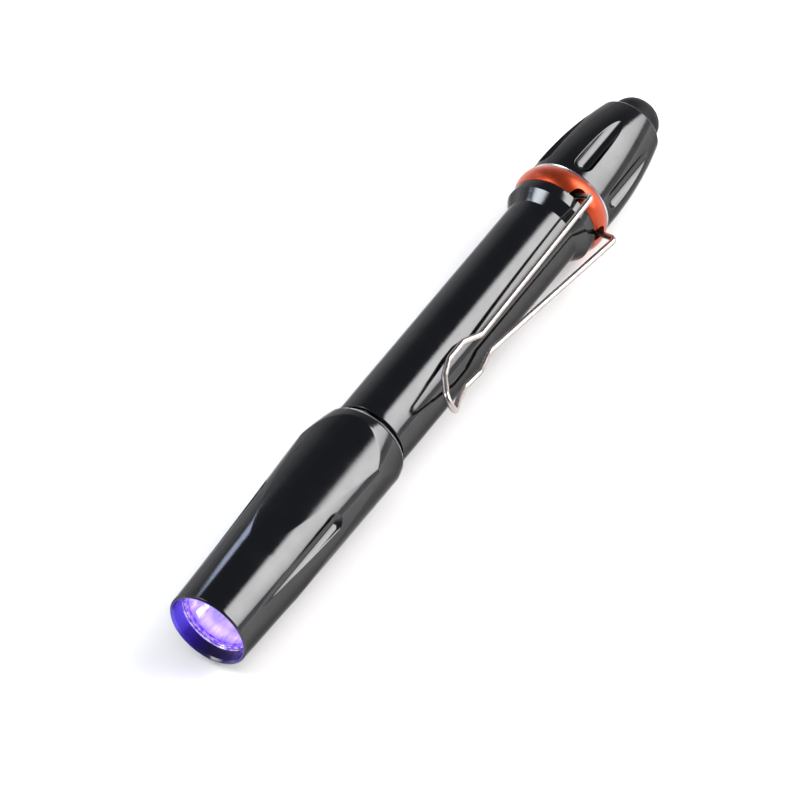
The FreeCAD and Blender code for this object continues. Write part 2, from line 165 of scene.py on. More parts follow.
def turned(name, outline, closed=True, segments=240, carve=None, placement=LAMP):
    """Turns an outline about the lamp's axis; carve(station, angle, radius) may cut it deeper.

    Angle 0 is the clip's side of the lamp.  Points on the axis become single vertices.
    """
    verts, uvs, rings = [], [], []
    travel = 0.0
    for index, point in enumerate(outline):
        if index:
            travel += (point - outline[index - 1]).length
        if abs(point.y) < ON_AXIS:
            rings.append([len(verts)] * segments)
            verts.append((point.x, 0, 0))
            uvs.append((0, travel))
            continue
        rings.append(range(len(verts), len(verts) + segments))
        for step in range(segments):
            angle = 2 * math.pi * step / segments
            radius = carve(point.x, angle, point.y) if carve else point.y
            verts.append((point.x, -radius * math.sin(angle), radius * math.cos(angle)))
            uvs.append((step / segments, travel))
    faces = []
    for index in range(len(rings) if closed else len(rings) - 1):
        this, that = rings[index], rings[(index + 1) % len(rings)]
        for step in range(segments):
            after = (step + 1) % segments
            corners = [this[step], this[after], that[after], that[step]]
            face = [corner for spot, corner in enumerate(corners) if corner not in corners[:spot]]
            if len(face) > 2:
                faces.append(face)
    piece = new_mesh(name, verts, faces, uvs, placement)
    outward(piece)
    return piece


def soft_least(first, second, blend):
    """The smaller of two numbers, with the change from one to the other rounded off."""
    gap = max(blend - abs(first - second), 0.0) / blend
    return min(first, second) - gap * gap * blend / 4


def nearest(angle, count, first):
    """How far an angle is from the nearest of count directions that start at first."""
    step = 2 * math.pi / count
    return (angle - first + step / 2) % step - step / 2


# The flutes in the head and in the cap have the same round section.
FLUTE_RADIUS = 1.9
FLUTE_EDGE = 0.05


def flute_radius(past, off, axis):
    """Radius of a flute's floor.

    past is how far the station lies beyond the centre of the ball that ends the flute, off is the
    angle from the flute's middle, and axis is how far the flute's own axis lies from the lamp's.
    """
    square = FLUTE_RADIUS ** 2 - past ** 2 - (axis * math.sin(off)) ** 2
    if square <= 0 or math.cos(off) <= 0:
        return math.inf
    return axis * math.cos(off) - math.sqrt(square)


# ---------------------------------------------------------------- head

# FLARE, CREST and SHOULDER are points: a station and a radius.
RIM_LIP = 7.07
RIM_FACE = 7.25
RIM_RADIUS = 7.5
RIM_EDGE = 0.25
RECESS_MOUTH = 6.8
RECESS_EDGE = 0.42
WINDOW_RADIUS = 6.37
FLARE = (14.2, 7.88)
CREST = (40.4, 9.13)
SHOULDER = (47.4, 7.8)
SHOULDER_CURVE = 45.0
HEAD_LIP = 0.18
HEAD_LIP_RADIUS = 7.4
HEAD_END_RADIUS = 7.25
HEAD_BORE = 6.7
LOBES = 3
FACET_AXIS = 3.1
FACET_FRONT = 7.8
FACET_REAR = 8.17
CREASE = 0.02
SLOT_FLOOR = 7.67
SLOT_AXIS = SLOT_FLOOR + FLUTE_RADIUS
SLOT_END = 27.4


def facet_radius(station, off):
    """Radius of the broad facet at an angle off its middle."""
    reach = FACET_AXIS + FACET_FRONT + (FACET_REAR - FACET_FRONT) * station / HEAD_END
    return math.sqrt(reach ** 2 - (FACET_AXIS * math.sin(off)) ** 2) - FACET_AXIS * math.cos(off)


def carve_head(station, angle, radius):
    """Cuts the facets, and then the flutes on the crests between them."""
    cut = soft_least(radius, facet_radius(station, nearest(angle, LOBES, math.pi)), CREASE)
    past = max(station - SLOT_END, 0.0)
    return soft_least(cut, flute_radius(past, nearest(angle, LOBES, 0), SLOT_AXIS), FLUTE_EDGE)


def make_head():
    """Head shell: a round bezel, a flaring body with facets and flutes, and a sloping shoulder."""
    outline = [
        (0, RIM_LIP, 0.04),
        (0, RIM_FACE, 0.06),
        (RIM_EDGE, RIM_RADIUS, 0.12),
        FLARE + (0,),
        CREST + (1.2,),
        *arc_points(CREST, SHOULDER, SHOULDER_CURVE, steps=8),
        SHOULDER + (0.1,),
        (HEAD_END - HEAD_LIP, HEAD_LIP_RADIUS, 0.1),
        (HEAD_END, HEAD_END_RADIUS, 0.08),
        (HEAD_END, HEAD_BORE, 0.08),
        (WINDOW_X, HEAD_BORE, 0.02),
        (WINDOW_X, WINDOW_RADIUS, 0.05),
        (RECESS_EDGE, RECESS_MOUTH, 0.06),
    ]
    head = turned("head_body", rounded(outline, longest=0.2), segments=480, carve=carve_head)
    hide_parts("head_shell")
    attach(head, "head")
    return head


# ---------------------------------------------------------------- tube

TUBE_BORE = 5.4
NECK_RADIUS = 6.3
SPIGOT_X = 34.0
SPIGOT_RADIUS = 6.65
HEAD_GROOVE_X = 44.4
HEAD_GROOVE_WIDTH = 1.4
HEAD_GROOVE_FLOOR = 6.0
TUBE_X = 49.1
TUBE_EDGE = 0.15
TUBE_RADIUS = 6.91
COLLAR_X = 103.5
COLLAR_FULL_X = 105.5
COLLAR_END = 107.6
COLLAR_RADIUS = 8.25
COLLAR_EDGE = 0.12
COLLAR_STEP = 0.08
TAIL_GROOVE_X = 113.4
TAIL_GROOVE_WIDTH = 0.7
TAIL_GROOVE_FLOOR = 5.7


def groove(start, width, surface, floor, edge_rounding, floor_rounding):
    """The four corners of a groove for an O-ring."""
    return [
        (start, surface, edge_rounding),
        (start, floor, floor_rounding),
        (start + width, floor, floor_rounding),
        (start + width, surface, edge_rounding),
    ]


def make_tube():
    """Battery tube, with its two spigots, their O-ring grooves and the clip's collar."""
    outline = [
        (TUBE_FRONT, TUBE_BORE, 0.1),
        (TUBE_FRONT, NECK_RADIUS, 0.15),
        (SPIGOT_X, NECK_RADIUS, 0.05),
        (SPIGOT_X, SPIGOT_RADIUS, 0.15),
        *groove(HEAD_GROOVE_X, HEAD_GROOVE_WIDTH, SPIGOT_RADIUS, HEAD_GROOVE_FLOOR, 0.08, 0.05),
        (HEAD_END, SPIGOT_RADIUS, 0.1),
        (HEAD_END, NECK_RADIUS, 0.05),
        (TUBE_X, NECK_RADIUS, 0.05),
        (TUBE_X, TUBE_RADIUS - TUBE_EDGE, 0.06),
        (TUBE_X + TUBE_EDGE, TUBE_RADIUS, 0.06),
        (COLLAR_X, TUBE_RADIUS, 0.1),
        (COLLAR_FULL_X, COLLAR_RADIUS - COLLAR_STEP, 0.1),
        (COLLAR_FULL_X + COLLAR_EDGE, COLLAR_RADIUS, 0.06),
        (COLLAR_END, COLLAR_RADIUS, 0.1),
        (COLLAR_END, NECK_RADIUS, 0.05),
        *groove(TAIL_GROOVE_X, TAIL_GROOVE_WIDTH, NECK_RADIUS, TAIL_GROOVE_FLOOR, 0.05, 0.03),
        (TUBE_END, NECK_RADIUS, 0.15),
        (TUBE_END, TUBE_BORE, 0.1),
    ]
    tube = turned("tube_body", rounded(outline, longest=1.0), segments=360)
    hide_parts("battery_tube")
    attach(tube, "barrel")
    return tube


# ---------------------------------------------------------------- accent ring

RING_EDGE = 0.15
RING_FRONT_RADIUS = 8.38
RING_REAR_RADIUS = 8.12
RING_CURVE = 3.84
RING_BORE = 6.34
RING_SEAT = 7.5
RING_SEAT_END = 108.9
NOTCH_SIDE = 4.12
NOTCH_HALF = 1.1
NOTCH_DEPTH = 2.0
NOTCH_REACH = 12.0
NOTCH_STEPS = 24
NOTCH_SHARP = math.radians(35)


def make_ring():
    """Orange ring that holds the clip's wire, with its two notches."""
    front = (RING_X + RING_EDGE, RING_FRONT_RADIUS)
    rear = (RING_END, RING_REAR_RADIUS)
    outline = [
        (RING_X, RING_SEAT, 0.05),
        (RING_X, RING_FRONT_RADIUS - RING_EDGE, 0.08),
        front + (0.05,),
        *arc_points(front, rear, RING_CURVE, steps=16),
        rear + (0.06,),
        (RING_END, RING_BORE, 0.05),
        (RING_SEAT_END, RING_BORE, 0.05),
        (RING_SEAT_END, RING_SEAT, 0.05),
    ]
    ring = turned("ring_body", rounded(outline, longest=0.12), segments=480)
    cut_notches(ring)
    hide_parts("accent_ring")
    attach(ring, "barrel")
    return ring


def notch_cutter():
    """Two round-ended bars that stand where the clip's wire comes out of the ring."""
    front = RING_X - NOTCH_HALF
    middle = RING_X + NOTCH_DEPTH - NOTCH_HALF
    outline = [(front, -NOTCH_HALF), (front, NOTCH_HALF)]
    for step in range(NOTCH_STEPS + 1):
        angle = math.pi * (0.5 - step / NOTCH_STEPS)
        outline.append((middle + NOTCH_HALF * math.cos(angle), NOTCH_HALF * math.sin(angle)))
    count = len(outline)
    verts, faces = [], []
    for side in (-NOTCH_SIDE, NOTCH_SIDE):
        low = len(verts)
        high = low + count
        for height in (0, NOTCH_REACH):
            verts += [(station, side + offset, height) for station, offset in outline]
        faces += [list(range(low, high)), list(range(high + count - 1, high - 1, -1))]
        for index in range(count):
            after = (index + 1) % count
            faces.append([low + after, low + index, high + index, high + after])
    cutter = new_mesh("notch_cutter", verts, faces)
    outward(cutter)
    return cutter


def cut_notches(ring):
    """Cuts the two notches out of the ring's mesh for good, and leaves no modifier behind."""
    cutter = notch_cutter()
    notch = ring.modifiers.new("notch", "BOOLEAN")
    notch.operation = "DIFFERENCE"
    notch.solver = "EXACT"
    notch.object = cutter
    graph = bpy.context.evaluated_depsgraph_get()
    ring.data = bpy.data.meshes.new_from_object(ring.evaluated_get(graph), depsgraph=graph)
    ring.modifiers.clear()
    bpy.data.objects.remove(cutter)
    ring.data.set_sharp_from_angle(angle=NOTCH_SHARP)


# ---------------------------------------------------------------- tail cap

CAP_FACE = 7.9
CAP_FRONT_EDGE = 0.25
CAP_FRONT_RADIUS = 8.15
CAP_FULL = (113.5, 8.2)
CAP_CURVE = 69.5
CAP_EDGE = 0.3
CAP_REAR_RADIUS = 6.0
CAP_END_RADIUS = 5.75
CAP_BORE = 6.35
CHAMBER_X = 118.0
CHAMBER_END = 127.4
CHAMBER_RADIUS = 6.0
BUTTON_HOLE = 5.22
FLUTES = 6
FLUTE_X = 114.75
FLUTE_AXIS = 8.93
FLUTE_TURN = math.radians(12.0)


def carve_cap(station, angle, radius):
    """Cuts the flutes, which start with a ball centred at FLUTE_X and run out to the rear."""
    past = max(FLUTE_X - station, 0.0)
    return soft_least(radius, flute_radius(past, nearest(angle, FLUTES, 0), FLUTE_AXIS), FLUTE_EDGE)


def make_cap():
    """Tail cap, turned about the axis so that its flutes stand FLUTE_TURN off the clip."""
    rear = (CAP_END - CAP_EDGE, CAP_REAR_RADIUS)
    outline = [
        (CAP_X, CAP_BORE, 0.05),
        (CAP_X, CAP_FACE, 0.08),
        (CAP_X + CAP_FRONT_EDGE, CAP_FRONT_RADIUS, 0.15),
        CAP_FULL + (0,),
        *arc_points(CAP_FULL, rear, CAP_CURVE, steps=24),
        rear + (0.1,),
        (CAP_END, CAP_END_RADIUS, 0.06),
        (CAP_END, BUTTON_HOLE, 0.05),
        (CHAMBER_END, BUTTON_HOLE, 0.02),
        (CHAMBER_END, CHAMBER_RADIUS, 0.02),
        (CHAMBER_X, CHAMBER_RADIUS, 0.02),
        (CHAMBER_X, CAP_BORE, 0.02),
    ]
    cap = turned("cap_body", rounded(outline, longest=0.15), segments=720, carve=carve_cap,
                 placement=LAMP @ Matrix.Rotation(FLUTE_TURN, 4, "X"))
    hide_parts("tail_cap")
    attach(cap, "tail")
    return cap


# ---------------------------------------------------------------- rubber button

STEM_RADIUS = 2.3
BUTTON_WALL = 2.0
BUTTON_INSIDE = 3.55
BUTTON_LIFT = 0.9
BUTTON_RADIUS = 4.65
BUTTON_SHOULDER = (134.3, 4.45)
BUTTON_EDGE_CURVE = 3.4
BUTTON_TOP_CURVE = 6.0
CROWN_DROP = 0.35
CROWN_RADIUS = 2.0
SKIRT_BORE = 4.75
SKIRT_CHAMFER = 0.2
SKIRT_CHAMFER_DEPTH = 0.17
FLANGE_GAP = 0.05
COLLAR_GAP = 0.03


def make_button():
    """Hollow rubber button with a stem in its middle."""
    crown, tip = (BUTTON_END - CROWN_DROP, CROWN_RADIUS), (BUTTON_END, 0)
    outline = [
        (BUTTON_X, 0, 0),
        (BUTTON_X, STEM_RADIUS, 0.1),
        (BUTTON_END - BUTTON_WALL, STEM_RADIUS, 0.1),
        (BUTTON_END - BUTTON_WALL, BUTTON_INSIDE, 0.1),
        (BUTTON_X + BUTTON_LIFT, BUTTON_INSIDE, 0.1),
        (BUTTON_X + BUTTON_LIFT, BUTTON_RADIUS, 0.12),
        BUTTON_SHOULDER + (0.3,),
        *arc_points(BUTTON_SHOULDER, crown, BUTTON_EDGE_CURVE, steps=10),
        crown + (0,),
        *arc_points(crown, tip, BUTTON_TOP_CURVE, steps=5),
        tip + (0,),
    ]
    button = turned("button_cap", rounded(outline, closed=False, longest=0.15), closed=False)
    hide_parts("button_dome")
    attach(button, "button")
    return button


def make_skirt():
    """Rubber skirt round the button: a flange in the cap and a collar in the cap's hole."""
    flange_end = CHAMBER_END - FLANGE_GAP
    collar_radius = BUTTON_HOLE - COLLAR_GAP
    outline = [
        (SKIRT_X, SKIRT_BORE, 0.05),
        (SKIRT_X, CHAMBER_RADIUS - FLANGE_GAP, 0.05),
        (flange_end, CHAMBER_RADIUS - FLANGE_GAP, 0.05),
        (flange_end, collar_radius, 0.05),
        (SKIRT_END - SKIRT_CHAMFER, collar_radius, 0.1),
        (SKIRT_END, collar_radius - SKIRT_CHAMFER_DEPTH, 0.08),
        (SKIRT_END, SKIRT_BORE, 0.04),
    ]
    skirt = turned("boot_collar", rounded(outline, longest=0.2))
    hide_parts("boot_skirt")
    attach(skirt, "tail")
    return skirt


# ---------------------------------------------------------------- clip wire

WIRE_RADIUS = 0.55
WIRE_SIDES = 28
WIRE_STEP = 0.12
LEAST_STEPS = 6
END_SCALE = 0.8
END_LENGTH = 0.1
# Station, distance from the clip's middle plane, height above the axis, and radius of the bend,
# from the root in the ring to the raised loop.
CLIP_BENDS = [
    (108.6, 3.85, 6.15, 0.0),
    (107.35, 4.7, 11.6, 1.1),
    (74.0, 1.8, 8.35, 2.2),
    (70.25, 3.3, 7.85, 1.6),
    (66.1, 3.1, 7.6, 3.0),
    (62.1, 2.7, 9.3, 3.0),
    (57.9, 1.6, 12.25, 1.5),
]
HOOP_X = 108.25
HOOP_RADIUS = 6.9
HOOP_GAP = math.radians(39.0)
HOOP_STEPS = 140


def bent_path(points, bends):
    """Close points along straight runs joined by arcs, as the wire is bent."""
    path = [points[0]]
    for before, corner, after, bend in zip(points, points[1:], points[2:], bends[1:-1]):
        turn = math.pi - (before - corner).angle(after - corner)
        steps = max(LEAST_STEPS, int(turn * bend / WIRE_STEP))
        path += corner_arc(before, corner, after, bend, steps)
    path.append(points[-1])
    return path


def wire(name, path):
    """A round wire along a path, with slightly rounded ends."""
    runs = [(after - before).normalized() for before, after in zip(path, path[1:])]
    bends = [(before + after).normalized() for before, after in zip(runs, runs[1:])]
    first, last = runs[0], runs[-1]
    stops = [(path[0], END_SCALE, first), (path[0] + first * END_LENGTH, 1.0, first)]
    stops += [(place, 1.0, tangent) for place, tangent in zip(path[1:-1], bends)]
    stops += [(path[-1] - last * END_LENGTH, 1.0, last), (path[-1], END_SCALE, last)]
    verts, faces, uvs = [], [], []
    side = first.orthogonal().normalized()
    travel = 0.0
    for index, (place, scale, tangent) in enumerate(stops):
        side = (side - tangent * side.dot(tangent)).normalized()
        other = tangent.cross(side)
        if index:
            travel += (place - stops[index - 1][0]).length
        for step in range(WIRE_SIDES):
            angle = 2 * math.pi * step / WIRE_SIDES
            outwards = side * math.cos(angle) + other * math.sin(angle)
            verts.append(place + outwards * WIRE_RADIUS * scale)
            uvs.append((step / WIRE_SIDES, travel))
    for base in range(0, len(verts) - WIRE_SIDES, WIRE_SIDES):
        for step in range(WIRE_SIDES):
            after = (step + 1) % WIRE_SIDES
            next_ring = base + WIRE_SIDES
            faces.append((base + step, base + after, next_ring + after, next_ring + step))
    faces.append(tuple(reversed(range(WIRE_SIDES))))
    faces.append(tuple(range(len(verts) - WIRE_SIDES, len(verts))))
    piece = new_mesh(name, verts, faces, uvs)
    outward(piece)
    return piece


def make_arm():
    """The clip's spring arm: two mirrored legs joined by the raised loop."""
    one_side = [Vector(bend[:3]) for bend in CLIP_BENDS]
    other_side = [Vector((point.x, -point.y, point.z)) for point in reversed(one_side)]
    bends = [bend[3] for bend in CLIP_BENDS]
    arm = wire("clip_wire_arm", bent_path(one_side + other_side, bends + bends[::-1]))
    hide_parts("clip_arm")
    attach(arm, "clip")
    return arm


def make_hoop():
    """The part of the clip's wire that goes round the tube under the ring."""
    sweep = 2 * math.pi - 2 * HOOP_GAP
    angles = [HOOP_GAP + sweep * step / HOOP_STEPS for step in range(HOOP_STEPS + 1)]
    path = [Vector((HOOP_X, HOOP_RADIUS * math.sin(angle), HOOP_RADIUS * math.cos(angle)))
            for angle in angles]
    hoop = wire("clip_wire_hoop", path)
    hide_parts("clip_hoop")
    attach(hoop, "barrel")
    return hoop


# ---------------------------------------------------------------- materials


def feed(tree, node, inputs):
    """Sets a node's inputs by name or number: a socket is linked, anything else is the value."""
    for name, value in inputs.items():
        if isinstance(value, bpy.types.NodeSocket):
            tree.links.new(value, node.inputs[name])
        else:
            node.inputs[name].default_value = value


def add_node(tree, kind, inputs, **settings):
    """A new shader node of a kind, with its settings made and its inputs fed."""
    node = tree.nodes.new("ShaderNode" + kind)
    for name, value in settings.items():
        setattr(node, name, value)
    feed(tree, node, inputs)
    return node


def coordinate(tree, name):
    return add_node(tree, "TexCoord", {}).outputs[name]


def maths(tree, operation, *values):
    return add_node(tree, "Math", dict(enumerate(values)), operation=operation).outputs["Value"]


def vector_maths(tree, operation, *values):
    """The result of a vector operation: a number for a length or a dot product, else a vector."""
    node = add_node(tree, "VectorMath", dict(enumerate(values)), operation=operation)
    return node.outputs["Value" if operation in ("LENGTH", "DOT_PRODUCT") else "Vector"]


def noise(tree, source, scale, stretch=(1, 1, 1), detail=3.0):
    """Noise over a coordinate, stretched per axis."""
    mapped = add_node(tree, "Mapping", {"Vector": source, "Scale": stretch}).outputs["Vector"]
    inputs = {"Vector": mapped, "Scale": scale, "Detail": detail}
    return add_node(tree, "TexNoise", inputs).outputs["Fac"]


def ramp(tree, source, stops):
    """A colour ramp fed by a number; stops are (place, colour)."""
    node = add_node(tree, "ValToRGB", {"Fac": source})
    elements = node.color_ramp.elements
    while len(elements) > 1:
        elements.remove(elements[-1])
    elements[0].position, elements[0].color = stops[0]
    for place, colour in stops[1:]:
        elements.new(place).color = colour
    return node.outputs["Color"]


def bump(tree, height, strength, distance):
    inputs = {"Height": height, "Strength": strength, "Distance": distance}
    return add_node(tree, "Bump", inputs).outputs["Normal"]


def grey(value):
    return (value, value, value, 1)


def new_material(name):
    """A material with its node tree and its Principled shader."""
    material = bpy.data.materials.new(name)
    material.use_nodes = True
    tree = material.node_tree
    return material, tree, tree.nodes["Principled BSDF"]


def anodised_black():
    """Black anodised aluminium: glossy dyed skin over fine turning marks, with faint smudges."""
    material, tree, shader = new_material("anodised_black")
    marks = noise(tree, coordinate(tree, "UV"), 1.0, (6, 7, 1), 5)
    smudge = noise(tree, coordinate(tree, "Object"), 220.0, detail=4)
    tones = [(0.3, (0.062, 0.062, 0.063, 1)), (0.7, (0.072, 0.072, 0.073, 1))]
    feed(tree, shader, {
        "Base Color": ramp(tree, smudge, tones),
        "Roughness": ramp(tree, smudge, [(0.3, grey(0.07)), (0.75, grey(0.12))]),
        "Metallic": 1.0,
        "Specular Tint": grey(0.47),
        "Normal": bump(tree, marks, 0.30, 0.00002),
    })
    return material


def orange_ring():
    """Satin orange anodising under a thin clear coat."""
    material, tree, shader = new_material("orange_anodised")
    marks = noise(tree, coordinate(tree, "UV"), 8.0, (3, 9, 1), 4)
    cloud = noise(tree, coordinate(tree, "Object"), 300.0)
    tones = [(0.3, (0.39, 0.042, 0.008, 1)), (0.7, (0.47, 0.058, 0.012, 1))]
    feed(tree, shader, {
        "Base Color": ramp(tree, cloud, tones),
        "Roughness": ramp(tree, cloud, [(0.3, grey(0.34)), (0.7, grey(0.41))]),
        "Metallic": 0.9,
        "Coat Weight": 0.3,
        "Coat Roughness": 0.25,
        "Normal": bump(tree, marks, 0.12, 0.00003),
    })
    return material


def nickel_wire():
    """Nickel-plated wire with marks drawn out along it."""
    material, tree, shader = new_material("nickel_wire")
    drawn = noise(tree, coordinate(tree, "UV"), 5.0, (14, 0.25, 1), 4)
    cloud = noise(tree, coordinate(tree, "Object"), 700.0, detail=4)
    tones = [(0.3, (0.38, 0.335, 0.31, 1)), (0.7, (0.50, 0.45, 0.42, 1))]
    feed(tree, shader, {
        "Base Color": ramp(tree, cloud, tones),
        "Roughness": ramp(tree, drawn, [(0.3, grey(0.18)), (0.7, grey(0.29))]),
        "Metallic": 1.0,
        "Normal": bump(tree, drawn, 0.2, 0.00003),
    })
    return material


def plain(name, dark, light, rough, metallic=0.0, scale=600.0, relief=0.15, depth=0.00003, ior=1.5):
    """A moulded or machined surface: mottled colour, mottled gloss and a fine grain."""
    material, tree, shader = new_material(name)
    place = coordinate(tree, "Object")
    mottle = noise(tree, place, scale, detail=5)
    grain = noise(tree, place, scale * 9)
    feed(tree, shader, {
        "Base Color": ramp(tree, mottle, [(0.3, dark + (1,)), (0.7, light + (1,))]),
        "Roughness": ramp(tree, mottle, [(0.3, grey(rough[0])), (0.7, grey(rough[1]))]),
        "Metallic": metallic,
        "IOR": ior,
        "Normal": bump(tree, grain, relief, depth),
    })
    return material


def window_glass():
    """Clear window with a faint haze."""
    material, tree, shader = new_material("window_glass")
    haze = noise(tree, coordinate(tree, "Object"), 900.0)
    feed(tree, shader, {
        "Base Color": (0.93, 0.92, 1.0, 1),
        "Roughness": ramp(tree, haze, [(0.4, grey(0.0)), (0.8, grey(0.03))]),
        "Transmission Weight": 1.0,
        "IOR": 1.45,
    })
    return material


# The violet light is painted on by station along the lamp, distance from its axis and direction
# round it.  A painted reflection of the diode's square die stands on the bowl's wall at DIE_TURN
# round the axis.
DIE_STATION = 5.8
DIE_HALF_LENGTH = 1.1
DIE_TURN = math.radians(57.0)
DIE_HALF_ANGLE = math.radians(5.5)
DIE_GLARE = 2.2
BOWL_MOUTH = 6.6
BOWL_THROAT = 1.9
WASH_DIRECTION = Vector((0, 0.96, -0.28))


def lamp_place(tree):
    """The shaded place in millimetres from the bezel, with X along the lamp's axis."""
    shifted = vector_maths(tree, "SUBTRACT", coordinate(tree, "Object"), BEZEL)
    return vector_maths(tree, "MULTIPLY", shifted, (1 / MM, 1 / MM, 1 / MM))


def station_of(tree, place):
    return add_node(tree, "SeparateXYZ", {"Vector": place}).outputs["X"]


def across(tree, place):
    """The part of a place that lies across the lamp's axis."""
    return vector_maths(tree, "MULTIPLY", place, (0, 1, 1))


def facing(tree, place, direction):
    """How far a place round the lamp's axis lies towards a direction, from -1 to 1."""
    outwards = vector_maths(tree, "NORMALIZE", across(tree, place))
    return vector_maths(tree, "DOT_PRODUCT", outwards, direction)


def lit_reflector():
    """Plated bowl with the diode's violet light painted on as glow, and a painted reflection of the
    diode on its wall.
    """
    material, tree, shader = new_material("lit_reflector")
    place = lamp_place(tree)
    radius = vector_maths(tree, "LENGTH", across(tree, place))
    inputs = {"Value": radius, "From Min": BOWL_MOUTH, "From Max": BOWL_THROAT}
    depth = add_node(tree, "MapRange", inputs).outputs["Result"]
    # Painted glow: violet light laid on the bowl by how deep in it a place lies.
    glow = ramp(tree, depth, [
        (0.0, (0.05, 0.015, 0.60, 1)),
        (0.17, (0.10, 0.03, 1.0, 1)),
        (0.22, (0.75, 0.55, 1.0, 1)),
        (0.30, (0.26, 0.12, 1.0, 1)),
        (0.42, (0.46, 0.33, 0.97, 1)),
        (0.8, (0.56, 0.46, 0.96, 1)),
    ])
    sparkle = noise(tree, place, 1.6, (0.25, 1, 1), 5)
    streaks = ramp(tree, sparkle, [(0.35, grey(0.55)), (0.52, grey(0.78)), (0.66, grey(1.1))])
    # Painted reflection of the diode's die: a bright patch near DIE_STATION at DIE_TURN round the axis.
    die_direction = (0, math.sin(DIE_TURN), -math.cos(DIE_TURN))
    along = maths(tree, "COMPARE", station_of(tree, place), DIE_STATION, DIE_HALF_LENGTH)
    towards = facing(tree, place, die_direction)
    around = maths(tree, "GREATER_THAN", towards, math.cos(DIE_HALF_ANGLE))
    painted_die_reflection = maths(tree, "MULTIPLY", along, around)
    feed(tree, shader, {
        "Base Color": (0.5, 0.45, 0.7, 1),
        "Metallic": 1.0,
        "Roughness": 0.12,
        "Emission Color": glow,
        "Emission Strength": maths(tree, "MULTIPLY_ADD", painted_die_reflection, DIE_GLARE, streaks),
    })
    return material


def lit_dome():
    """The diode's clear dome, glowing with a slight mottle."""
    material, tree, shader = new_material("lit_dome")
    mottle = noise(tree, lamp_place(tree), 2.0, detail=4)
    feed(tree, shader, {
        "Base Color": (0.3, 0.2, 0.6, 1),
        "Roughness": 0.3,
        "Emission Color": (0.75, 0.6, 1.0, 1),
        "Emission Strength": ramp(tree, mottle, [(0.3, grey(2.4)), (0.7, grey(3.0))]),
    })
    return material


def lit_recess():
    """The black recess wall in front of the window, with the lamp's violet light on it painted on as
    glow.
    """
    material, tree, shader = new_material("lit_recess")
    place = lamp_place(tree)
    # Painted glow: brightest on the side facing WASH_DIRECTION, with a fainter painted glow on the lip
    # opposite that fades with station.
    wash = ramp(tree, facing(tree, place, WASH_DIRECTION), [
        (0.0, (0.0010, 0.0008, 0.004, 1)),
        (0.40, (0.0030, 0.0010, 0.022, 1)),
        (0.68, (0.0100, 0.0015, 0.105, 1)),
        (0.90, (0.0300, 0.0110, 0.330, 1)),
        (0.99, (0.0800, 0.0480, 0.680, 1)),
    ])
    lip_stops = [(0.0, (0.004, 0.002, 0.040, 1)), (0.8, (0.042, 0.026, 0.400, 1))]
    lip = ramp(tree, facing(tree, place, -WASH_DIRECTION), lip_stops)
    reach_stops = [(0.0, grey(1.0)), (0.28, grey(0.7)), (0.45, grey(0.0))]
    reach = ramp(tree, station_of(tree, place), reach_stops)
    mottle = noise(tree, place, 1.5, (6, 1, 1))
    feed(tree, shader, {
        "Base Color": (0.006, 0.006, 0.009, 1),
        "Roughness": ramp(tree, mottle, [(0.3, grey(0.10)), (0.7, grey(0.2))]),
        "IOR": 1.5,
        "Emission Color": vector_maths(tree, "ADD", wash, vector_maths(tree, "MULTIPLY", lip, reach)),
        "Emission Strength": 1.0,
    })
    return material


def lit_seal():
    """Clear silicone seal round the window, with its light from inside painted on as a glow in bright
    broken rings.
    """
    material, tree, shader = new_material("lit_seal")
    streaks = noise(tree, lamp_place(tree), 1.3, (5, 1, 1), 5)
    glow = ramp(tree, streaks, [
        (0.38, (0.06, 0.01, 0.75, 1)),
        (0.50, (0.22, 0.06, 1.0, 1)),
        (0.58, (1.0, 0.75, 1.0, 1)),
        (0.66, (0.30, 0.10, 1.0, 1)),
    ])
    feed(tree, shader, {
        "Base Color": (0.2, 0.1, 0.5, 1),
        "Roughness": 0.25,
        "Emission Color": glow,
        "Emission Strength": 1.0,
    })
    return material


# ---------------------------------------------------------------- dressing

# The painted violet glow spreads over the bezel's lip as far as RECESS_REACH.  Bare metal shows on
# the head's rear edge and on the cap's front edge.
FACE_SLACK = 0.01
RECESS_REACH = 7.16
BARE_HEAD_DEPTH = 0.45
BARE_HEAD_RADIUS = 7.2
BARE_CAP_DEPTH = 0.24
BARE_CAP_RADIUS = 7.85
SHARP = math.radians(30)


def dress(piece, *materials):
    """Gives a piece its materials; every face has the first one until paint chooses another."""
    piece.data.materials.clear()
    for material in materials:
        piece.data.materials.append(material)


def paint(piece, index, chosen):
    """Gives material number index to the faces whose station and radius chosen accepts."""
    for polygon in piece.data.polygons:
        centre = (polygon.center - BEZEL) / MM
        if chosen(centre.x, math.hypot(centre.y, centre.z)):
            polygon.material_index = index


def in_recess(station, radius):
    return station < WINDOW_X + FACE_SLACK and radius < RECESS_REACH


def on_head_edge(station, radius):
    return station > HEAD_END - BARE_HEAD_DEPTH and radius > BARE_HEAD_RADIUS


def on_cap_edge(station, radius):
    return station < CAP_X + BARE_CAP_DEPTH and radius > BARE_CAP_RADIUS


def make_outside(rubber):
    """Makes and dresses the pieces that are seen from outside."""
    black = anodised_black()
    steel = nickel_wire()
    bare = plain("bare_edge", (0.52, 0.53, 0.55), (0.66, 0.67, 0.69), (0.16, 0.26), 1.0)
    head = make_head()
    dress(head, black, lit_recess(), bare)
    paint(head, 1, in_recess)
    paint(head, 2, on_head_edge)
    dress(make_tube(), black)
    dress(make_ring(), orange_ring())
    cap = make_cap()
    dress(cap, black, bare)
    paint(cap, 1, on_cap_edge)
    dress(make_button(), rubber)
    dress(make_skirt(), rubber)
    dress(make_arm(), steel)
    dress(make_hoop(), steel)


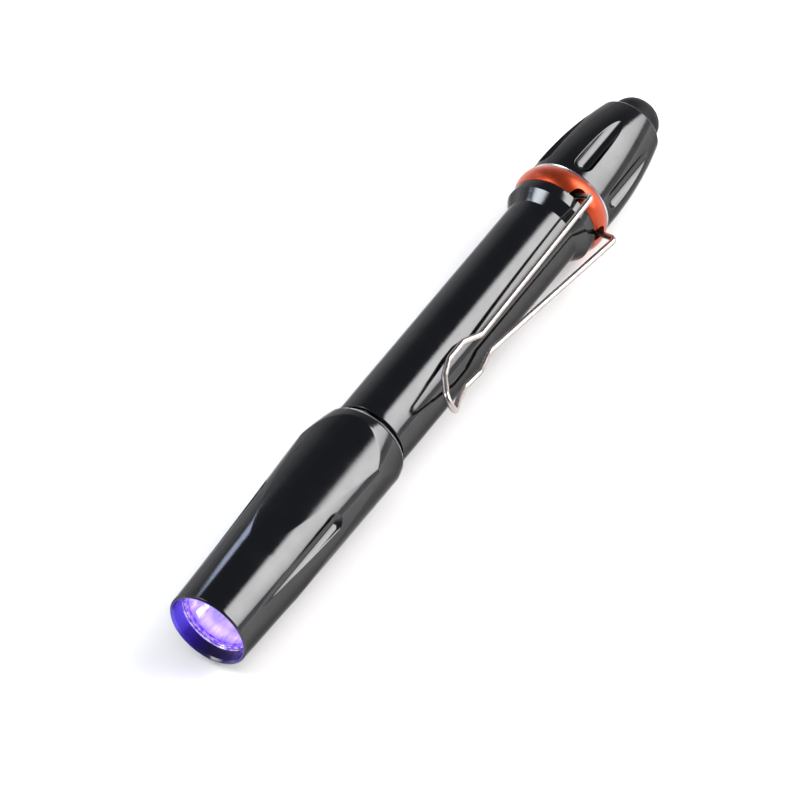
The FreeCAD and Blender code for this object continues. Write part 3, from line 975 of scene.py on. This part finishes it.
def dress_inside(rubber):
    """Dresses the CAD's own meshes of the pieces inside."""
    ceramic = plain("ceramic", (0.78, 0.77, 0.74), (0.86, 0.85, 0.82), (0.4, 0.5))
    board = plain("white_board", (0.75, 0.75, 0.74), (0.82, 0.82, 0.81), (0.35, 0.5))
    aluminium = plain("turned_aluminium", (0.60, 0.60, 0.62), (0.72, 0.72, 0.74), (0.22, 0.34), 1.0)
    green = plain("green_board", (0.008, 0.070, 0.030), (0.012, 0.100, 0.045), (0.25, 0.4))
    sleeve = plain("cell_sleeve", (0.020, 0.030, 0.060), (0.030, 0.045, 0.085), (0.22, 0.32))
    brass = plain("brass", (0.62, 0.42, 0.16), (0.76, 0.55, 0.24), (0.2, 0.32), 1.0)
    housing = plain("switch_plastic", (0.018, 0.018, 0.019), (0.032, 0.032, 0.033), (0.4, 0.5))
    plunger = plain("plunger_plastic", (0.60, 0.60, 0.57), (0.70, 0.70, 0.67), (0.35, 0.45))
    spring = plain("spring_steel", (0.46, 0.44, 0.41), (0.62, 0.60, 0.57), (0.18, 0.3), 1.0)
    inside = {
        "lens": window_glass(),
        "lens_seal": lit_seal(),
        "reflector": lit_reflector(),
        "led_dome": lit_dome(),
        "led_package": ceramic,
        "led_board": board,
        "heat_sink": aluminium,
        "driver_board": green,
        "cell_front": sleeve,
        "cell_rear": sleeve,
        "switch_retainer": brass,
        "switch_housing": housing,
        "switch_plunger": plunger,
        "front_spring": spring,
        "tail_spring": spring,
        "return_spring": spring,
        "head_oring": rubber,
        "tail_oring": rubber,
    }
    for node, material in inside.items():
        piece = frame["nodes"][node]
        dress(piece, material)
        piece.data.shade_smooth()
        piece.data.set_sharp_from_angle(angle=SHARP)


# ---------------------------------------------------------------- studio

FLOOR_WIDTH = 6.0
FOCAL_LENGTH = 349.6
VIEW_DIRECTION = Vector((0.54450, 0.34825, -0.76305))
VIEW_TARGET = BEZEL + Vector((0.05875, 0.0001, 0))
VIEW_DISTANCE = 1.304


def aim(forward, roughly_up):
    """A rotation whose -Z looks along forward and whose X is level."""
    back = -Vector(forward).normalized()
    right = Vector(roughly_up).cross(back).normalized()
    up = back.cross(right)
    return Matrix((right, up, back)).transposed().to_4x4()


def sheet(name, wide, tall):
    """A flat rectangle facing +Z, with UV from 0 to 1 across it."""
    corners = [(0, 0), (1, 0), (1, 1), (0, 1)]
    mesh = bpy.data.meshes.new(name)
    verts = [((right - 0.5) * wide, (upwards - 0.5) * tall, 0) for right, upwards in corners]
    mesh.from_pydata(verts, [], [(0, 1, 2, 3)])
    layer = mesh.uv_layers.new(name="UVMap")
    for loop, corner in enumerate(corners):
        layer.data[loop].uv = corner
    flat = bpy.data.objects.new(name, mesh)
    bpy.context.scene.collection.objects.link(flat)
    return flat


def panel_glow(name, radiance, falloff, colour):
    """Light from a panel; falloff is its brightness from its lower edge to its upper one."""
    material, tree, shader = new_material(name)
    tree.nodes.remove(shader)
    height = add_node(tree, "SeparateXYZ", {"Vector": coordinate(tree, "UV")}).outputs["Y"]
    stops = [(place, tuple(share * part for part in colour) + (1,)) for place, share in falloff]
    glow = add_node(tree, "Emission", {"Color": ramp(tree, height, stops), "Strength": radiance})
    feed(tree, tree.nodes["Material Output"], {"Surface": glow.outputs["Emission"]})
    return material


def add_softbox(name, direction, distance, size, radiance, falloff, colour=(1, 1, 1),
                target=(0, 0, 0)):
    """A glowing panel that faces target and is seen only in reflections and by its light."""
    target = Vector(target)
    centre = target + Vector(direction).normalized() * distance
    panel = sheet(name, *size)
    panel.matrix_world = Matrix.Translation(centre) @ aim(target - centre, Vector((0, 0, 1)))
    panel.visible_camera = False
    panel.visible_shadow = False
    dress(panel, panel_glow(name, radiance, falloff, colour))


def add_fill(name, centre, size, watts):
    """A broad light that brightens the floor and doesn't show in reflections."""
    data = bpy.data.lights.new(name, "AREA")
    data.size = size
    data.energy = watts
    data.color = (1.0, 0.96, 0.93)
    light = bpy.data.objects.new(name, data)
    light.matrix_world = Matrix.Translation(centre) @ aim(-centre, Vector((0, 1, 0)))
    light.visible_glossy = False
    bpy.context.scene.collection.objects.link(light)


def make_camera():
    camera = bpy.data.cameras.new("camera")
    camera.sensor_width = 36.0
    camera.lens = FOCAL_LENGTH
    camera.clip_end = 50
    viewer = bpy.data.objects.new("camera", camera)
    eye = VIEW_TARGET - VIEW_DIRECTION * VIEW_DISTANCE
    viewer.matrix_world = Matrix.Translation(eye) @ aim(VIEW_DIRECTION, Vector((0, 0, 1)))
    bpy.context.scene.collection.objects.link(viewer)
    bpy.context.scene.camera = viewer


def make_floor():
    floor = sheet("floor", FLOOR_WIDTH, FLOOR_WIDTH)
    material, tree, shader = new_material("floor")
    feed(tree, shader, {
        "Base Color": (0.90, 0.885, 0.875, 1),
        "Roughness": 0.9,
        "Specular IOR Level": 0.0,
    })
    dress(floor, material)


def make_world():
    """A pale studio all round that darkens overhead."""
    world = bpy.data.worlds.new("studio")
    bpy.context.scene.world = world
    world.use_nodes = True
    tree = world.node_tree
    height = add_node(tree, "SeparateXYZ", {"Vector": coordinate(tree, "Generated")}).outputs["Z"]
    glow = ramp(tree, height, [
        (0.0, (1.12, 1.12, 1.14, 1)),
        (0.22, (0.63, 0.64, 0.68, 1)),
        (0.50, (0.21, 0.22, 0.26, 1)),
        (0.72, (0.155, 0.165, 0.205, 1)),
    ])
    feed(tree, tree.nodes["Background"], {"Color": glow})


def make_lights():
    """Four softboxes that the lamp reflects, and a fill for the floor."""
    add_softbox(
        "main_softbox", (0.60, -0.54, 0.585), 0.9, (0.95, 0.74), 8.2,
        [(0.0, 0.60), (0.25, 0.85), (0.55, 1.0), (0.86, 0.97), (0.94, 0.45), (0.985, 0.0)],
    )
    add_softbox(
        "back_softbox", (-0.395, 0.61, 0.685), 0.9, (0.40, 0.60), 11.0,
        [(0.0, 0.25), (0.35, 0.8), (0.55, 1.0), (0.8, 0.8), (0.92, 0.2), (1.0, 0.0)],
        colour=(0.87, 0.94, 1.0),
    )
    add_softbox(
        "window_glint", (0.524, 0.71, 0.465), 0.15, (0.013, 0.045), 7.0,
        [(0.0, 0.4), (0.3, 1.0), (0.7, 1.0), (1.0, 0.2)],
        colour=(0.66, 0.75, 1.0), target=BEZEL,
    )
    add_softbox(
        "recess_glow", (0.30, 0.88, 0.37), 0.9, (0.12, 0.30), 4.0,
        [(0.0, 0.1), (0.4, 1.0), (0.6, 1.0), (1.0, 0.1)],
        colour=(0.85, 0.88, 1.0), target=BEZEL,
    )
    add_fill("overhead_fill", Vector((-0.2, 0.1, 1.3)), 1.4, 8.0)


make_camera()
make_floor()
make_world()
make_lights()
bpy.context.scene.view_settings.view_transform = "Standard"

soft_rubber = plain("soft_rubber", (0.004, 0.004, 0.005), (0.008, 0.008, 0.009), (0.50, 0.60),
                    scale=900.0, relief=0.3, depth=0.00004, ior=1.22)
make_outside(soft_rubber)
dress_inside(soft_rubber)

bpy.context.view_layer.update()
